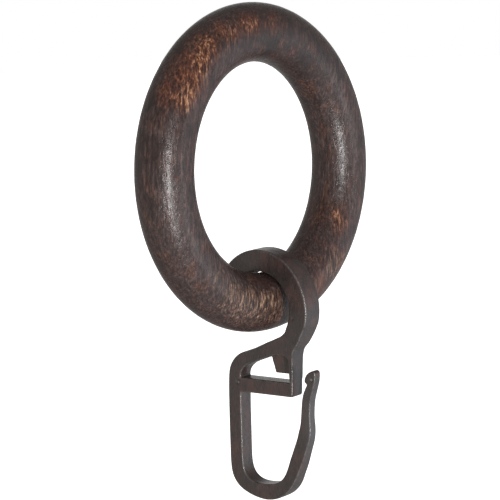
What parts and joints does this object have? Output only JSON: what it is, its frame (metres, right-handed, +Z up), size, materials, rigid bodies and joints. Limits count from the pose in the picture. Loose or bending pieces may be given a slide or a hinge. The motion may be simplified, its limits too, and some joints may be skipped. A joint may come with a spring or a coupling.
{
  "type": "wooden curtain ring with clip-on hook",
  "caption": "Turned wooden ring for a curtain pole, carrying a moulded plastic hook with a C-shaped clip loop, a cross bar and a springy open gate arm.",
  "frame": {"origin": "centre of the ring's pole opening", "axes": "+Y along the curtain pole, +Z up when the ring hangs on the pole; the ring stands in the XZ plane and the hook hangs down its -Z side with its flat profile in the YZ plane"},
  "size_m": [0.0584, 0.0209, 0.0897],
  "materials": {
    "stained_wood": "dark walnut stain under satin lacquer",
    "hook_plastic": "satin moulded"
  },
  "bodies": {
    "ring": {"wooden_ring": "stained_wood"},
    "hook": {"hook_frame": "hook_plastic"},
    "gate": {"gate_arm": "hook_plastic"},
    "jaw": {"loop_jaw": "hook_plastic"}
  },
  "joints": [
    {"name": "hook_swing", "type": "hinge", "parent": "ring", "child": "hook", "pos_m": [0, -0.0008, -0.0247], "axis": [1, 0, 0], "continuous": true},
    {"name": "gate_flex", "type": "hinge", "parent": "hook", "child": "gate", "pos_m": [0, -0.0051, -0.0553], "axis": [1, 0, 0], "range_deg": [-5, 12], "stiffness_Nm_per_rad": 0.12},
    {"name": "jaw_flex", "type": "hinge", "parent": "hook", "child": "jaw", "pos_m": [0, -0.00593, -0.01814], "axis": [1, 0, 0], "range_deg": [0, 7], "stiffness_Nm_per_rad": 0.8}
  ]
}
